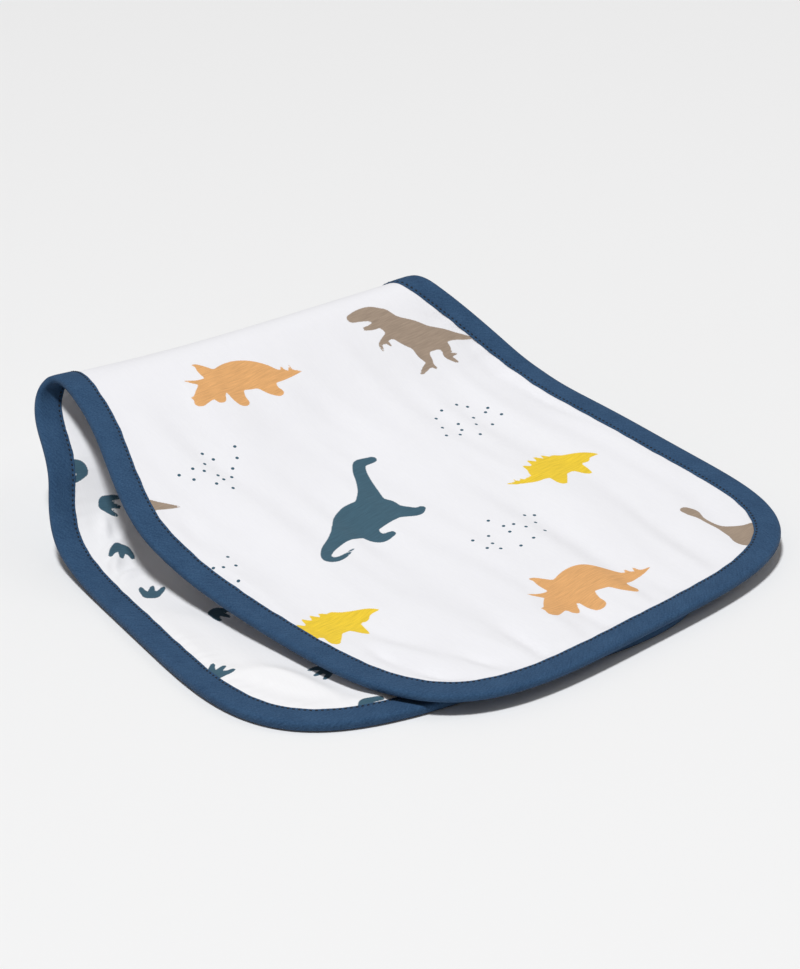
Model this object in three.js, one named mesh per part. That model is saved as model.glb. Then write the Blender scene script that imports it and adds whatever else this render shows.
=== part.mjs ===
// A contoured burp cloth, folded over at about its middle and lying on a flat surface.
// Two layers of light cotton with a bias binding sewn round the edge.
// Millimetres, +Z up. X runs along the upper half towards its end, -Y is the near side.
//
// Every piece is worked out in the flat cloth, at (u, v), and carried onto the fold:
// u along the cloth from the middle of its waist, v across it, w through it,
// with +w on the outer (printed) side and -w on the lining's side.
import * as THREE from 'three';

// ---- the flat cloth: an hourglass with rounded lobes -----------------------------
const HALF_LENGTH = 299.2;      // middle of the waist to the middle of a lobe's end
const HALF_LOBE = 120;          // half the width of a lobe
const HALF_WAIST = 92.5;        // half the width at the waist
const FLARE = 110.5;            // distance over which the waist widens to the lobe
const LOBE_END = 118.0;         // length of a lobe's rounded end
const LOBE_POWER = 3.83;        // its curve: |u'|^p + |v'|^p = 1, an oval that squares up
const LOBE_START = HALF_LENGTH - LOBE_END;
const FOLD_OFF = 32.3;          // the fold's crest lies this far off the middle of the waist
const FOLD_TURN = -7.6;         // degrees that the fold's line is turned in the cloth

// ---- the layers ----------------------------------------------------------------------
const SHEET = 1.0;              // one panel
const BETWEEN = 0.3;            // gap between the two panels
const BIND_SHEET = 1.0;         // the strip's wall, folded double at its edge
const BIND_GAP = 0.45;          // gap between a panel and the strip over it
const BIND_WIDTH = 12.2;        // how far the binding reaches in over the cloth
const PANEL_INSET = 2.2;        // the panels' raw edge, inside the binding's outer edge
const PANEL_FACE = BETWEEN / 2 + SHEET;           // a panel's outer face, from the middle
const BIND_IN = PANEL_FACE + BIND_GAP;
const BIND_OUT = BIND_IN + BIND_SHEET;

// ---- the fold: the section's direction along the cloth --------------------------------
// s is the way along the cloth from the fold's crest, turn the section's angle from +X at
// the middle of the cloth, in degrees, and skew how much more it is at the far side.
const FOLD = [
  { s: -300, turn: 180.0, skew: 0.0 },
  { s: -165, turn: 180.0, skew: 0.0 },
  { s: -125, turn: 166.0, skew: 8.6 },
  { s: -95, turn: 141.1, skew: 23.5 },
  { s: -70, turn: 161.2, skew: 38.3 },
  { s: -45, turn: 74.8, skew: 91.7 },
  { s: -22, turn: 35.8, skew: 91.7 },
  { s: 0, turn: -26.7, skew: -23.3 },
  { s: 15, turn: -30.6, skew: -27.0 },
  { s: 35, turn: -30.0, skew: -15.2 },
  { s: 60, turn: -19.6, skew: 12.7 },
  { s: 90, turn: -13.8, skew: 17.5 },
  { s: 130, turn: -7.5, skew: 2.0 },
  { s: 185, turn: -3.2, skew: -0.6 },
  { s: 260, turn: -0.8, skew: -1.4 },
];
const SPLAY = -18.0;            // degrees that the lower half is turned on the surface
const SPLAY_SHIFT = 14.8;       // and how far it is shifted across
const SPLAY_OVER = 90;          // length of cloth over which it turns

// soft troughs (-) and ridges (+) of the upper half, placed by hand from the photograph
const RELIEF = [
  { u: 214, v: -84, along: 34, across: 11, turn: 24, height: -1.5 },
  { u: 226, v: -48, along: 40, across: 12, turn: 6, height: 1.1 },
  { u: 168, v: -30, along: 60, across: 16, turn: -6, height: -1.0 },
  { u: 70, v: 84, along: 34, across: 10, turn: 12, height: -1.4 },
  { u: 128, v: 30, along: 55, across: 17, turn: 4, height: 1.1 },
  { u: 240, v: 62, along: 30, across: 13, turn: -14, height: -1.2 },
  { u: 78, v: -58, along: 40, across: 14, turn: -10, height: 1.0 },
];

// ---- centring on the bounding box -----------------------------------------------------
const CENTRE_X = 114.28;
const CENTRE_Y = 3.81;

const RAD = Math.PI / 180;
const clamp = (x, a = 0, b = 1) => Math.min(b, Math.max(a, x));
const smooth = (x) => { const c = clamp(x); return c * c * (3 - 2 * c); };

// a curve through the knots that never overshoots them (monotone cubic)
function through(x, y) {
  const n = x.length;
  const h = [], m = [];
  for (let k = 0; k < n - 1; k++) { h.push(x[k + 1] - x[k]); m.push((y[k + 1] - y[k]) / h[k]); }
  const end = (h0, h1, m0, m1) => {
    const d = ((2 * h0 + h1) * m0 - h0 * m1) / (h0 + h1);
    if (Math.sign(d) !== Math.sign(m0)) return 0;
    if (Math.sign(m0) !== Math.sign(m1) && Math.abs(d) > 3 * Math.abs(m0)) return 3 * m0;
    return d;
  };
  const d = [end(h[0], h[1], m[0], m[1])];
  for (let k = 1; k < n - 1; k++) {
    const w1 = 2 * h[k] + h[k - 1], w2 = h[k] + 2 * h[k - 1];
    d.push(m[k - 1] * m[k] <= 0 ? 0 : (w1 + w2) / (w1 / m[k - 1] + w2 / m[k]));
  }
  d.push(end(h[n - 2], h[n - 3], m[n - 2], m[n - 3]));
  return (q) => {
    const t = clamp(q, x[0], x[n - 1]);
    let k = 0;
    while (k < n - 2 && t > x[k + 1]) k++;
    const a = (t - x[k]) / h[k], b = a * a, c = b * a;
    return y[k] * (2 * c - 3 * b + 1) + y[k + 1] * (3 * b - 2 * c)
      + h[k] * (d[k] * (c - 2 * b + a) + d[k + 1] * (c - b));
  };
}

// ---- the fold's surface, tabled once every millimetre of s ----------------------------
const S_MIN = -360, S_MAX = 320;
const near = through(FOLD.map((f) => f.s), FOLD.map((f) => (f.turn - f.skew / 2) * RAD));
const far = through(FOLD.map((f) => f.s), FOLD.map((f) => (f.turn + f.skew / 2) * RAD));
const table = [];
{
  const walk = (angle) => {
    const p = [[0, 0]];
    for (let s = S_MIN; s < S_MAX; s++) {
      const a = angle(s), b = angle(s + 1), q = p[p.length - 1];
      p.push([q[0] + (Math.cos(a) + Math.cos(b)) / 2, q[1] + (Math.sin(a) + Math.sin(b)) / 2]);
    }
    const x0 = p[-S_MIN][0];
    return p.map((q) => [q[0] - x0, q[1]]);
  };
  const a = walk(near), b = walk(far);
  for (let k = 0; k < a.length; k++) {
    const kx = (b[k][0] - a[k][0]) / (2 * HALF_LOBE), kz = (b[k][1] - a[k][1]) / (2 * HALF_LOBE);
    table.push({
      x: (a[k][0] + b[k][0]) / 2, z: (a[k][1] + b[k][1]) / 2, kx, kz,
      c: Math.sqrt(1 - kx * kx - kz * kz), g: 0,
    });
  }
  for (let k = 1; k < table.length; k++) {
    const p = table[k - 1], q = table[k];
    q.g = p.g + (q.x - p.x) * (q.kx + p.kx) / 2 + (q.z - p.z) * (q.kz + p.kz) / 2;
  }
  const g0 = table[-S_MIN].g;
  for (const q of table) q.g -= g0;
}

// the middle surface at s along and t across the fold: straight rulings in t
function ruled(s, t) {
  const q = clamp(s - S_MIN, 0, table.length - 1.001), k = Math.floor(q), f = q - k;
  const at = (name) => table[k][name] * (1 - f) + table[k + 1][name] * f;
  const x = at('x') + t * at('kx'), y = t * at('c') - at('g'), z = at('z') + t * at('kz');
  const turned = smooth(-s / SPLAY_OVER), th = SPLAY * RAD * turned;
  return new THREE.Vector3(
    x * Math.cos(th) + y * Math.sin(th),
    -x * Math.sin(th) + y * Math.cos(th) + SPLAY_SHIFT * turned,
    z,
  );
}

// half the cloth's width at u, the lobes' rounded ends included
function halfWidth(u) {
  const a = Math.abs(u);
  if (a > LOBE_START) {
    const c = clamp((a - LOBE_START) / LOBE_END);
    return HALF_LOBE * (1 - c ** LOBE_POWER) ** (1 / LOBE_POWER);
  }
  return HALF_WAIST + (HALF_LOBE - HALF_WAIST) * (0.5 - 0.5 * Math.cos(Math.PI * clamp(a / FLARE)));
}

// how far in from the outline, near enough
function edgeDistance(u, v) {
  const cu = (Math.abs(u) - LOBE_START) / LOBE_END, cv = Math.abs(v) / HALF_LOBE;
  if (cu <= 0) return halfWidth(u) - Math.abs(v);
  const g = Math.max((cu ** LOBE_POWER + cv ** LOBE_POWER) ** (1 / LOBE_POWER), 1e-6);
  const k = LOBE_POWER - 1;
  return (1 - g) / Math.hypot((cu / g) ** k / LOBE_END, (cv / g) ** k / HALF_LOBE);
}

// the relief through the cloth: the upper half's troughs and ridges, and on the lower half
// the panels' sag inside the binding, so that the cloth lies flat on the surface
function relief(u, v) {
  let w = 0;
  const edge = smooth((edgeDistance(u, v) - BIND_WIDTH - 0.8) / 14);
  const s = (u - FOLD_OFF) * Math.cos(FOLD_TURN * RAD) + v * Math.sin(FOLD_TURN * RAD);
  for (const r of RELIEF) {
    const ca = Math.cos(r.turn * RAD), sa = Math.sin(r.turn * RAD);
    const a = ((u - r.u) * ca + (v - r.v) * sa) / r.along;
    const b = (-(u - r.u) * sa + (v - r.v) * ca) / r.across;
    w += r.height * Math.exp(-a * a - b * b);
  }
  return edge * (w * smooth((s - 25) / 30) + (BIND_OUT - PANEL_FACE) * smooth((-s - 168) / 22));
}

// cloth to object
function onFold(u, v, w) {
  const c = Math.cos(FOLD_TURN * RAD), d = Math.sin(FOLD_TURN * RAD);
  const s = (u - FOLD_OFF) * c + v * d, t = -(u - FOLD_OFF) * d + v * c;
  const along = ruled(s + 1, t).sub(ruled(s - 1, t));
  const across = ruled(s, t + 1).sub(ruled(s, t - 1));
  const normal = along.cross(across).normalize();
  return ruled(s, t).addScaledVector(normal, w + relief(u, v))
    .add(new THREE.Vector3(-CENTRE_X, -CENTRE_Y, BIND_OUT));
}

// ---- the outline, a from 0 at the near side of the waist to 4 all the way round -------
const SIDE_END = 0.5;
function quarter(a) {
  if (a <= SIDE_END) {
    const u = LOBE_START * a / SIDE_END;
    return [u, halfWidth(u)];
  }
  const p = (a - SIDE_END) / (1 - SIDE_END) * Math.PI / 2;
  const r = (Math.abs(Math.cos(p)) ** LOBE_POWER + Math.sin(p) ** LOBE_POWER) ** (-1 / LOBE_POWER);
  return [LOBE_START + LOBE_END * r * Math.sin(p), HALF_LOBE * r * Math.cos(p)];
}
function outline(a) {
  const r = ((a % 4) + 4) % 4, q = Math.floor(r), f = r - q;
  const [u, v] = quarter(q % 2 ? 1 - f : f);
  return [q < 2 ? u : -u, q === 0 || q === 3 ? -v : v];
}
function inset(a, q) {
  const p = outline(a), e = 0.004;
  const n = outline(a + e), m = outline(a - e);
  const du = n[0] - m[0], dv = n[1] - m[1], l = Math.hypot(du, dv);
  return [p[0] - dv / l * q, p[1] + du / l * q];
}
// the outline's a where the side or the lobe's end reaches r along the cloth
function sideAt(r) {
  const x = Math.abs(r), c = clamp((x - LOBE_START) / LOBE_END, 0, 0.999) ** LOBE_POWER;
  const p = Math.atan((c / (1 - c)) ** (1 / LOBE_POWER)) / (Math.PI / 2);
  const a = x <= LOBE_START ? SIDE_END * x / LOBE_START : SIDE_END + (1 - SIDE_END) * p;
  return r >= 0 ? a : -a;
}

// ---- rows along the cloth, closest where the fold is tightest -------------------------
const CORNER_MID = LOBE_START + LOBE_END * 0.5 ** (1 / LOBE_POWER);
const rows = [-CORNER_MID];
while (rows[rows.length - 1] < CORNER_MID - 5) {
  const r = rows[rows.length - 1], s = r - FOLD_OFF;
  let bend = 0;
  for (let k = 0; k < 10; k += 2) {
    bend = Math.max(bend, Math.abs(near(s + k + 1) - near(s + k - 1)) / 2, Math.abs(far(s + k + 1) - far(s + k - 1)) / 2);
  }
  rows.push(r + clamp(Math.sqrt(0.8 / Math.max(bend, 1e-4)), 2.4, 11.5));
}
rows[rows.length - 1] = CORNER_MID;
// a row follows the fold's own line, and squares up with the cloth towards its ends
const lean = (r) => Math.tan(FOLD_TURN * RAD) * halfWidth(r) * (1 - smooth((Math.abs(r) - 130) / (CORNER_MID - 130)));
const nearRow = rows.map((r) => sideAt(r + lean(r)));
const farRow = rows.map((r) => 2 - sideAt(r - lean(r)));
const CORNER_A = sideAt(CORNER_MID);

// ---- pieces ------------------------------------------------------------------------------
function mesh(name, points, faces, colour, roughness) {
  const geometry = new THREE.BufferGeometry();
  geometry.setAttribute('position', new THREE.Float32BufferAttribute(points.flatMap((p) => [p.x, p.y, p.z]), 3));
  geometry.setIndex(faces.flat());
  geometry.computeVertexNormals();
  const m = new THREE.Mesh(geometry, new THREE.MeshStandardMaterial({ color: colour, roughness, metalness: 0 }));
  m.name = name;
  return m;
}

// one panel: a grid inside the outline, closed round its raw edge
const COLUMNS = [0, 0.048, 0.082, 0.2, 0.35, 0.5, 0.65, 0.8, 0.918, 0.952, 1];
function panel(name, wOut, wIn, colour) {
  const lerp = (p, q, f) => [p[0] + (q[0] - p[0]) * f, p[1] + (q[1] - p[1]) * f];
  const I = rows.length, J = COLUMNS.length;
  const edge = (a) => inset(a, PANEL_INSET);
  const cloth = [];
  for (let i = 0; i < I; i++) {
    const n = edge(nearRow[i]), f = edge(farRow[i]);
    const up = clamp((rows[i] - 150) / (CORNER_MID - 150)) ** 2;
    const low = clamp((-rows[i] - 150) / (CORNER_MID - 150)) ** 2;
    for (const j of COLUMNS) {
      const p = lerp(n, f, j);
      for (const [share, a0, a1, last] of [[up, CORNER_A, 2 - CORNER_A, I - 1], [low, -CORNER_A, -2 + CORNER_A, 0]]) {
        if (share === 0) continue;
        const e = edge(a0 + (a1 - a0) * j);
        const straight = lerp(edge(nearRow[last]), edge(farRow[last]), j);
        p[0] += share * (e[0] - straight[0]);
        p[1] += share * (e[1] - straight[1]);
      }
      cloth.push(p);
    }
  }
  const points = [...cloth.map(([u, v]) => onFold(u, v, wOut)), ...cloth.map(([u, v]) => onFold(u, v, wIn))];
  const faces = [], back = I * J, id = (i, j) => i * J + j;
  for (let i = 0; i < I - 1; i++) {
    for (let j = 0; j < J - 1; j++) {
      const a = id(i, j), b = id(i + 1, j), c = id(i + 1, j + 1), d = id(i, j + 1);
      const slash = (i < I / 2) === (j < J / 2);
      const two = slash ? [[a, b, c], [a, c, d]] : [[a, b, d], [b, c, d]];
      for (const [x, y, z] of two) faces.push([x, y, z], [x + back, z + back, y + back]);
    }
  }
  const rim = [];
  for (let i = 0; i < I - 1; i++) rim.push(id(i, 0));
  for (let j = 0; j < J - 1; j++) rim.push(id(I - 1, j));
  for (let i = I - 1; i > 0; i--) rim.push(id(i, J - 1));
  for (let j = J - 1; j > 0; j--) rim.push(id(0, j));
  rim.forEach((p, k) => {
    const q = rim[(k + 1) % rim.length];
    faces.push([p, p + back, q + back], [p, q + back, q]);
  });
  return mesh(name, points, faces, colour, 0.9);
}

// the binding: a U section carried all the way round
function strip(name, colour) {
  const r = BIND_OUT, c = Math.SQRT1_2;
  const section = [
    { q: BIND_WIDTH, w: BIND_IN }, { q: BIND_WIDTH, w: r - 0.25 }, { q: BIND_WIDTH - 0.9, w: r },
    { q: r, w: r }, { q: r * (1 - c), w: r * c }, { q: 0, w: 0 }, { q: r * (1 - c), w: -r * c }, { q: r, w: -r },
    { q: BIND_WIDTH - 0.9, w: -r }, { q: BIND_WIDTH, w: -r + 0.25 }, { q: BIND_WIDTH, w: -BIND_IN },
    { q: r, w: -BIND_IN }, { q: r - BIND_IN * 0.87, w: -BIND_IN / 2 }, { q: r - BIND_IN * 0.87, w: BIND_IN / 2 },
    { q: r, w: BIND_IN },
  ];
  const stations = [...nearRow];
  const END_STEPS = 26;
  for (let k = 1; k < END_STEPS; k++) stations.push(CORNER_A + (2 - 2 * CORNER_A) * k / END_STEPS);
  stations.push(...[...farRow].reverse());
  for (let k = 1; k < END_STEPS; k++) stations.push(2 + CORNER_A + (2 - 2 * CORNER_A) * k / END_STEPS);
  const points = [], faces = [], n = section.length, N = stations.length;
  for (const a of stations) {
    for (const { q, w } of section) {
      const [u, v] = inset(a, q);
      points.push(onFold(u, v, w));
    }
  }
  for (let i = 0; i < N; i++) {
    const m = (i + 1) % N;
    for (let k = 0; k < n; k++) {
      const l = (k + 1) % n;
      faces.push([i * n + k, i * n + l, m * n + l], [i * n + k, m * n + l, m * n + k]);
    }
  }
  return mesh(name, points, faces, colour, 0.85);
}

const cloth = new THREE.Group();
cloth.add(panel('face_panel', PANEL_FACE, BETWEEN / 2, 0xf0f0f4));
cloth.add(panel('lining_panel', -BETWEEN / 2, -PANEL_FACE, 0xefeeee));
cloth.add(strip('binding', 0x34506e));
export default cloth;
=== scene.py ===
"""A contoured burp cloth, folded over at about its middle and lying on a pale floor.

Sizes are in millimetres until a mesh is written. Every piece is worked out in the flat
cloth: u along it from the middle of its waist, v across it, w through it (+w on the
printed outer side). on_fold() carries (u, v, w) onto the folded shape.
"""

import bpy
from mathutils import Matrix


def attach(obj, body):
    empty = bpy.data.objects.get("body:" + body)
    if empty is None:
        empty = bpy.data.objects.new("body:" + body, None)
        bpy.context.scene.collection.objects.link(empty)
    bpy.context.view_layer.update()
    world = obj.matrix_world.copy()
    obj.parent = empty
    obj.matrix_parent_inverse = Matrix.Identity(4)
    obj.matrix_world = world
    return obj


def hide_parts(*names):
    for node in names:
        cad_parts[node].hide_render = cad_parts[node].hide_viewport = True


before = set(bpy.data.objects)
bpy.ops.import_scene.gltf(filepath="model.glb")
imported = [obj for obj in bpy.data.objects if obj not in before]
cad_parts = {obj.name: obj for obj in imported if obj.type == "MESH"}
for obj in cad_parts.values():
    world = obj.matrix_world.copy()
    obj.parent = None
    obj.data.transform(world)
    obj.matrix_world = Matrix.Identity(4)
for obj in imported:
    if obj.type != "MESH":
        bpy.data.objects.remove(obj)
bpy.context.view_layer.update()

import math
import bpy
import numpy as np
from mathutils import Matrix, Vector

# ---- the flat cloth -----------------------------------------------------------------
HALF_LENGTH = 299.2
HALF_LOBE, HALF_WAIST, FLARE = 120.0, 92.5, 110.5
LOBE_END, LOBE_POWER = 118.0, 3.83
LOBE_START = HALF_LENGTH - LOBE_END
FOLD_OFF, FOLD_TURN = 32.3, math.radians(-7.6)

# ---- the layers ---------------------------------------------------------------------
PANEL_NEAR, PANEL_FACE = 0.15, 1.15      # a panel's inner and outer face, from the middle
BIND_OUT = 2.6                           # the binding's outer face in the solids
STRIP_FACE = 1.95                        # the strip's outer face where it is off the floor
BIND_WIDTH = 12.2
PANEL_INSET = 2.2

# ---- the fold: s along the cloth from the crest, turn of the section in degrees at the
# middle of the cloth, skew how much more it is at the far side -------------------------
FOLD = np.array([
    # s,    turn,  skew
    (-300,  180.0,    0.0),
    (-165,  180.0,    0.0),
    (-125,  166.0,    8.6),
    (-95,   141.1,   23.5),
    (-70,   161.2,   38.3),
    (-45,    74.8,   91.7),
    (-22,    35.8,   91.7),
    (0,     -26.7,  -23.3),
    (15,    -30.6,  -27.0),
    (35,    -30.0,  -15.2),
    (60,    -19.6,   12.7),
    (90,    -13.8,   17.5),
    (130,    -7.5,    2.0),
    (185,    -3.2,   -0.6),
    (260,    -0.8,   -1.4),
])
SPLAY, SPLAY_SHIFT, SPLAY_OVER = math.radians(-18.0), 14.8, 90.0
CENTRE = np.array([114.28, 3.81, -BIND_OUT])

# soft troughs (-) and ridges (+) of the upper half: place, half length and half width,
# turn in degrees, height
RELIEF = [
    dict(u=216, v=-84, along=36, across=10, turn=24, height=-2.4),
    dict(u=232, v=-58, along=40, across=11, turn=8, height=1.5),
    dict(u=168, v=-36, along=62, across=14, turn=-4, height=-1.6),
    dict(u=72, v=86, along=34, across=10, turn=12, height=-1.8),
    dict(u=128, v=30, along=58, across=15, turn=4, height=1.5),
    dict(u=238, v=66, along=30, across=12, turn=-14, height=-1.7),
    dict(u=92, v=-52, along=46, across=13, turn=-10, height=1.4),
    dict(u=96, v=2, along=60, across=11, turn=-4, height=-1.2),
    dict(u=180, v=92, along=46, across=10, turn=6, height=-1.3),
    dict(u=214, v=32, along=44, across=10, turn=-6, height=-1.2),
]
# short creases on both layers of the upper half, most of them near its binding
CREASES = [
    dict(u=236, v=-95, along=13, across=4.4, turn=2, height=-2.6),
    dict(u=246, v=-84, along=17, across=4.5, turn=8, height=1.3),
    dict(u=261, v=-91, along=10, across=4.0, turn=20, height=-2.0),
    dict(u=265, v=-70, along=13, across=4.2, turn=14, height=-2.1),
    dict(u=262, v=-58, along=18, across=4.5, turn=8, height=1.1),
    dict(u=266, v=-46, along=19, across=4.6, turn=2, height=-1.5),
    dict(u=270, v=-26, along=18, across=5.0, turn=0, height=0.8),
    dict(u=272, v=-10, along=16, across=4.4, turn=-2, height=-1.5),
    dict(u=272, v=14, along=17, across=4.5, turn=-4, height=0.7),
    dict(u=270, v=30, along=20, across=5.5, turn=-8, height=-1.1),
    dict(u=266, v=52, along=18, across=5.0, turn=-12, height=0.7),
    dict(u=240, v=92, along=18, across=5.5, turn=-22, height=-1.1),
    dict(u=62, v=92, along=15, across=4.5, turn=30, height=-1.0),
    dict(u=92, v=98, along=18, across=4.5, turn=12, height=-0.9),
    dict(u=128, v=104, along=18, across=4.5, turn=4, height=-0.8),
    dict(u=196, v=-104, along=15, across=5.0, turn=18, height=-1.1),
    dict(u=150, v=-104, along=16, across=5.0, turn=10, height=0.8),
    dict(u=110, v=-98, along=16, across=5.0, turn=-12, height=-0.8),
]
# humps of the lining on the lower half and at the foot of the fold, height away from the
# printed layer
HUMPS = [
    dict(u=-252, v=-80, along=24, across=5.4, turn=-24, height=2.8),
    dict(u=-268, v=-60, along=22, across=5, turn=-14, height=1.6),
    dict(u=-236, v=-92, along=15, across=5, turn=-45, height=1.5),
    dict(u=-210, v=-62, along=24, across=8, turn=-12, height=1.5),
    dict(u=-178, v=-94, along=16, across=6, turn=-20, height=1.0),
    dict(u=-112, v=-98, along=7, across=2.6, turn=60, height=2.3),
    dict(u=-123, v=-101, along=8, across=2.8, turn=35, height=2.1),
    dict(u=-134, v=-100, along=7, across=2.6, turn=75, height=2.1),
    dict(u=-100, v=-95, along=8, across=2.8, turn=20, height=1.9),
    dict(u=-104, v=-86, along=7, across=3, turn=50, height=0.9),
]


def smooth(x):
    """3x^2 - 2x^3, held at 0 below 0 and at 1 above 1."""
    c = np.clip(x, 0.0, 1.0)
    return c * c * (3 - 2 * c)


def through(x, y, q):
    """The monotone cubic through the knots (x, y), at q: each knot's slope is the weighted
    harmonic mean of the chords beside it, or 0 where they differ in sign."""
    h = np.diff(x)
    m = np.diff(y) / h
    d = np.zeros(len(x))
    w1, w2 = 2 * h[1:] + h[:-1], h[1:] + 2 * h[:-1]
    same = m[:-1] * m[1:] > 0
    before, after = (np.where(chord == 0, 1, chord) for chord in (m[:-1], m[1:]))
    safe = np.where(same, w1 / before + w2 / after, 1)
    d[1:-1] = np.where(same, (w1 + w2) / safe, 0)
    for k, (h0, h1, m0, m1) in ((0, (h[0], h[1], m[0], m[1])), (-1, (h[-1], h[-2], m[-1], m[-2]))):
        e = ((2 * h0 + h1) * m0 - h0 * m1) / (h0 + h1)
        d[k] = 0 if e * m0 <= 0 else (3 * m0 if m0 * m1 < 0 and abs(e) > 3 * abs(m0) else e)
    t = np.clip(q, x[0], x[-1])
    k = np.clip(np.searchsorted(x, t, side="right") - 1, 0, len(x) - 2)
    a = (t - x[k]) / h[k]
    b, c = a * a, a * a * a
    values = y[k] * (2 * c - 3 * b + 1) + y[k + 1] * (3 * b - 2 * c)
    return values + h[k] * (d[k] * (c - 2 * b + a) + d[k + 1] * (c - b))


S = np.arange(-360.0, 321.0)


def fold_sections():
    """The near and far sections are walked along their turning angles; their mean and half
    difference give the middle section (x, z) and its change (kx, kz) per millimetre of t.
    c = sqrt(1 - kx^2 - kz^2) keeps t true, g makes up for the change along s."""
    def walk(angle):
        x = np.concatenate([[0], np.cumsum((np.cos(angle[1:]) + np.cos(angle[:-1])) / 2)])
        z = np.concatenate([[0], np.cumsum((np.sin(angle[1:]) + np.sin(angle[:-1])) / 2)])
        return x - x[360], z
    s, turn, skew = FOLD.T
    xn, zn = walk(through(s, np.radians(turn - skew / 2), S))
    xf, zf = walk(through(s, np.radians(turn + skew / 2), S))
    x, z = (xn + xf) / 2, (zn + zf) / 2
    kx, kz = (xf - xn) / (2 * HALF_LOBE), (zf - zn) / (2 * HALF_LOBE)
    drift = np.diff(x) * (kx[1:] + kx[:-1]) / 2 + np.diff(z) * (kz[1:] + kz[:-1]) / 2
    g = np.concatenate([[0], np.cumsum(drift)])
    return x, z, kx, kz, np.sqrt(1 - kx ** 2 - kz ** 2), g - g[360]


SECTION = fold_sections()


def ruled(s, t):
    """The middle surface: straight rulings in t, the lower half turned on the floor."""
    X, Z, KX, KZ, C, G = (np.interp(s, S, column) for column in SECTION)
    x, y, z = X + t * KX, t * C - G, Z + t * KZ
    turned = smooth(-s / SPLAY_OVER)
    ct, st = np.cos(SPLAY * turned), np.sin(SPLAY * turned)
    return np.stack([x * ct + y * st, -x * st + y * ct + SPLAY_SHIFT * turned, z], -1)


def half_width(u):
    """Half the cloth's width: a cosine flare from the waist, then the lobe's end, an oval
    |u'|^p + |v'|^p = 1 with p = LOBE_POWER."""
    a = np.abs(u)
    flare = 0.5 - 0.5 * np.cos(np.pi * np.clip(a / FLARE, 0, 1))
    side = HALF_WAIST + (HALF_LOBE - HALF_WAIST) * flare
    c = np.clip((a - LOBE_START) / LOBE_END, 0, 1)
    return np.where(a <= LOBE_START, side, HALF_LOBE * (1 - c ** LOBE_POWER) ** (1 / LOBE_POWER))


def edge_distance(u, v):
    """How far in from the outline: to the side, or to the oval by (1 - g) / |grad g|."""
    cu, cv = (np.abs(u) - LOBE_START) / LOBE_END, np.abs(v) / HALF_LOBE
    pu = np.maximum(cu, 0)
    g = np.maximum((pu ** LOBE_POWER + cv ** LOBE_POWER) ** (1 / LOBE_POWER), 1e-6)
    k = LOBE_POWER - 1
    oval = (1 - g) / np.maximum(np.hypot((pu / g) ** k / LOBE_END, (cv / g) ** k / HALF_LOBE), 1e-9)
    return np.where(cu <= 0, half_width(u) - np.abs(v), oval)


def mounds(u, v, table):
    """A sum of turned bell shapes, height * exp(-(a/along)^2 - (b/across)^2)."""
    w = np.zeros(np.shape(u))
    for m in table:
        ca, sa = math.cos(math.radians(m["turn"])), math.sin(math.radians(m["turn"]))
        a = ((u - m["u"]) * ca + (v - m["v"]) * sa) / m["along"]
        b = (-(u - m["u"]) * sa + (v - m["v"]) * ca) / m["across"]
        w = w + m["height"] * np.exp(-a * a - b * b)
    return w


def fold_s(u, v):
    """s, along the cloth from the fold's crest and square to its rulings."""
    return (u - FOLD_OFF) * math.cos(FOLD_TURN) + v * math.sin(FOLD_TURN)


def relief(u, v):
    """Broad relief that the solids have too, stronger here: the upper half's troughs and
    ridges, and the lower half's sag to the floor inside the binding."""
    s = fold_s(u, v)
    inside = smooth((edge_distance(u, v) - BIND_WIDTH - 0.8) / 14)
    upper = mounds(u, v, RELIEF) * smooth((s - 25) / 30)
    sag = (BIND_OUT - PANEL_FACE) * smooth((-s - 168) / 22)
    return inside * (upper + sag)


GATHER_FADE = 7.0              # the puckers' height falls to a third over this distance
GATHERS_FACE, GATHERS_LOW, GATHERS_UNDER = 0.3, 0.5, 0.16   # printed side, lining below, above


def gathers(u, v, height):
    """Small puckers square to the stitching: uneven sines along the edge that die away
    inwards over about a centimetre. They follow the side or, past the lean, the end."""
    d = edge_distance(u, v) - BIND_WIDTH
    side, end = half_width(u) - np.abs(v), HALF_LENGTH - np.abs(u)
    lean = smooth((end - side + 12) / 24)
    along_side = np.sin(u * 0.62 + 1.1 * np.sin(u * 0.083 + v * 0.01)) \
        + 0.6 * np.sin(u * 0.37 + 2.0 + 0.9 * np.sin(u * 0.05))
    along_end = np.sin(v * 0.55 + 1.3 * np.sin(v * 0.07)) + 0.6 * np.sin(v * 0.31 + 1.0)
    strength = 0.55 + 0.45 * np.sin(u * 0.031 + v * 0.043 + 0.7)
    fade = np.exp(-np.clip(d, 0, None) / GATHER_FADE) * smooth((d + 1.5) / 3)
    return height * strength * (lean * along_side + (1 - lean) * along_end) * fade


def streaks(u, v):
    """Shallow folds along the cloth, 14 to 40 mm apart, that fade in and out."""
    drift = v + 5 * np.sin(u * 0.021 + 0.8) + 2.5 * np.sin(u * 0.047 + v * 0.02)
    broad = np.sin(drift * 0.158 + 0.4) * (0.5 + 0.5 * np.sin(u * 0.026 + v * 0.033 + 1.2))
    close = np.sin(drift * 0.29 + 1.5 + u * 0.012) * (0.5 + 0.5 * np.sin(u * 0.041 - v * 0.052))
    fine = np.sin(drift * 0.47 + 0.9 * np.sin(u * 0.03)) \
        * (0.5 + 0.5 * np.sin(u * 0.06 + v * 0.08 + 2.0))
    return 0.95 * broad + 0.45 * close + 0.16 * fine


def cloth_relief(u, v):
    """The relief that both layers share: broad forms, creases and streaks."""
    s = fold_s(u, v)
    inside = smooth((edge_distance(u, v) - BIND_WIDTH + 1.0) / 6)
    upper = smooth((s + 2) / 22)
    return relief(u, v) + inside * upper * (mounds(u, v, CREASES) + streaks(u, v))


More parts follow.
